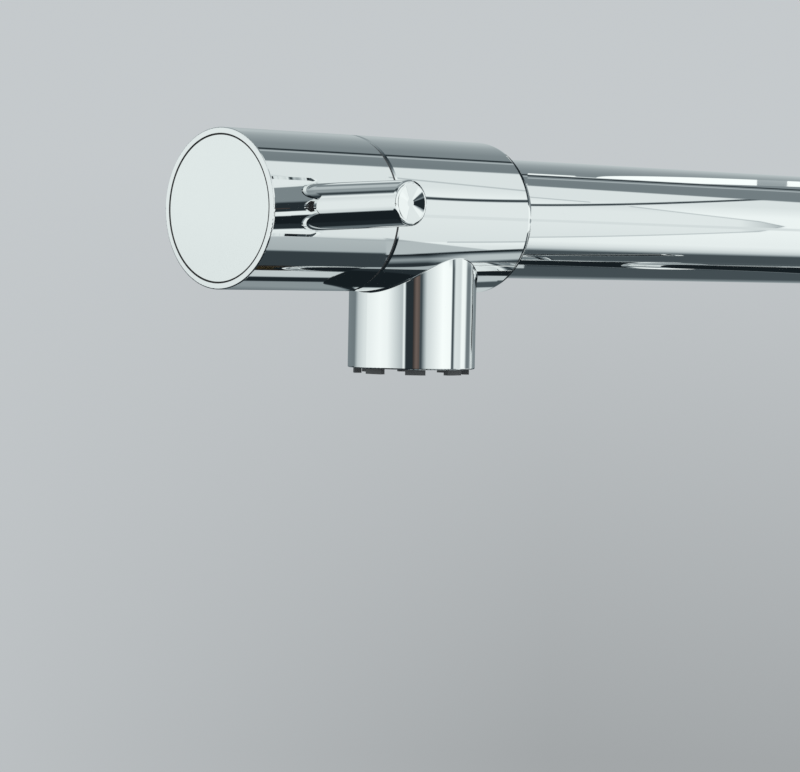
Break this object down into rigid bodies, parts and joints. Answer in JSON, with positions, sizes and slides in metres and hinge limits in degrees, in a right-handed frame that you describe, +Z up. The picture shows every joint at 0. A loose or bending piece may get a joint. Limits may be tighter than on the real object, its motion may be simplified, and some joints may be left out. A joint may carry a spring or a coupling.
{
  "type": "three way kitchen tap",
  "caption": "Chrome L-shaped kitchen tap: side lever mixes hot and cold water, a knob with a stick lever on the spout's end opens filtered water.",
  "frame": {"origin": "on the deck (worktop) surface, on the column's vertical axis", "axes": "+Z up along the column; the spout reaches towards -X; the mixer stands out towards -Y"},
  "size_m": [0.3081, 0.098, 0.3575],
  "materials": {
    "polished_chrome": "mirror-polished chrome plate over brass",
    "end_cap_chrome": "pale polished chrome disc, plain",
    "black_rubber": "matt black rubber",
    "bare_brass": "machined brass",
    "stainless_steel": "turned stainless steel",
    "alumina_ceramic": "lapped white ceramic",
    "dark_grey_plastic": "moulded dark grey plastic",
    "white_plastic": "moulded white acetal",
    "tube_plastic": "drawn food-grade tube",
    "index_plug_plastic": "plain grey plug, no marks"
  },
  "bodies": {
    "tap_column": {"column_body": "polished_chrome", "swivel_collar": "polished_chrome", "spout_lock_screw": "stainless_steel", "swivel_washer": "white_plastic", "filter_tube_seal": "black_rubber", "cartridge_base": "white_plastic", "cartridge_port_seals": "black_rubber", "fixed_mixer_disc": "alumina_ceramic", "cartridge_housing": "white_plastic", "cartridge_nut": "bare_brass", "cartridge_cover": "polished_chrome", "base_ring": "polished_chrome", "base_seal": "black_rubber", "mounting_shank": "bare_brass", "deck_gasket": "black_rubber", "deck_washer": "stainless_steel", "deck_nut": "bare_brass"},
    "swivel_spout": {"spout_tube": "polished_chrome", "filter_tube": "tube_plastic", "spout_foot": "bare_brass", "spout_o_rings": "black_rubber", "valve_head": "polished_chrome", "knob_glide_ring": "dark_grey_plastic", "headwork_body": "bare_brass", "fixed_valve_disc": "alumina_ceramic", "headwork_seal": "black_rubber", "filter_nipple": "bare_brass", "aerator_washer": "black_rubber", "aerator_strainer": "white_plastic", "aerator_jet_plate": "dark_grey_plastic", "aerator_screen": "dark_grey_plastic", "aerator_housing": "dark_grey_plastic"},
    "filter_control": {"filter_knob": "polished_chrome", "knob_end_cap": "end_cap_chrome", "knob_cap_ring": "black_rubber", "knob_lever": "polished_chrome", "lever_stud": "stainless_steel", "knob_screw": "stainless_steel", "valve_spindle": "bare_brass", "spindle_o_rings": "black_rubber", "spindle_clip": "stainless_steel", "turning_valve_disc": "alumina_ceramic"},
    "mixer_rotor": {"cartridge_rotor": "white_plastic", "stem_pivot_pin": "stainless_steel"},
    "mixer_control": {"mixer_handle": "polished_chrome", "mixer_lever": "polished_chrome", "mixer_stem": "stainless_steel", "handle_grub_screw": "stainless_steel", "index_plug": "index_plug_plastic"},
    "mixer_disc": {"moving_mixer_disc": "alumina_ceramic", "disc_carrier": "white_plastic"}
  },
  "joints": [
    {"name": "spout_swivel", "type": "hinge", "parent": "tap_column", "child": "swivel_spout", "pos_m": [0, 0, 0.15], "axis": [0, 0, 1], "range_deg": [-110, 110]},
    {"name": "filter_knob_turn", "type": "hinge", "parent": "swivel_spout", "child": "filter_control", "pos_m": [-0.2801, 0, 0.28], "axis": [-1, 0, 0], "range_deg": [0, 90]},
    {"name": "mixer_turn", "type": "hinge", "parent": "tap_column", "child": "mixer_rotor", "pos_m": [0, -0.036, 0.079], "axis": [0, -1, 0], "range_deg": [-45, 45]},
    {"name": "mixer_lift", "type": "hinge", "parent": "mixer_rotor", "child": "mixer_control", "pos_m": [0, -0.036, 0.079], "axis": [1, 0, 0], "range_deg": [0, 20]},
    {"name": "mixer_disc_slide", "type": "slide", "parent": "mixer_rotor", "child": "mixer_disc", "axis": [0, 0, 1], "range_m": [0, 0.00267]}
  ],
  "couplings": [
    {"joint": "mixer_disc_slide", "follows": "mixer_lift", "m_per_rad": 0.00735}
  ]
}
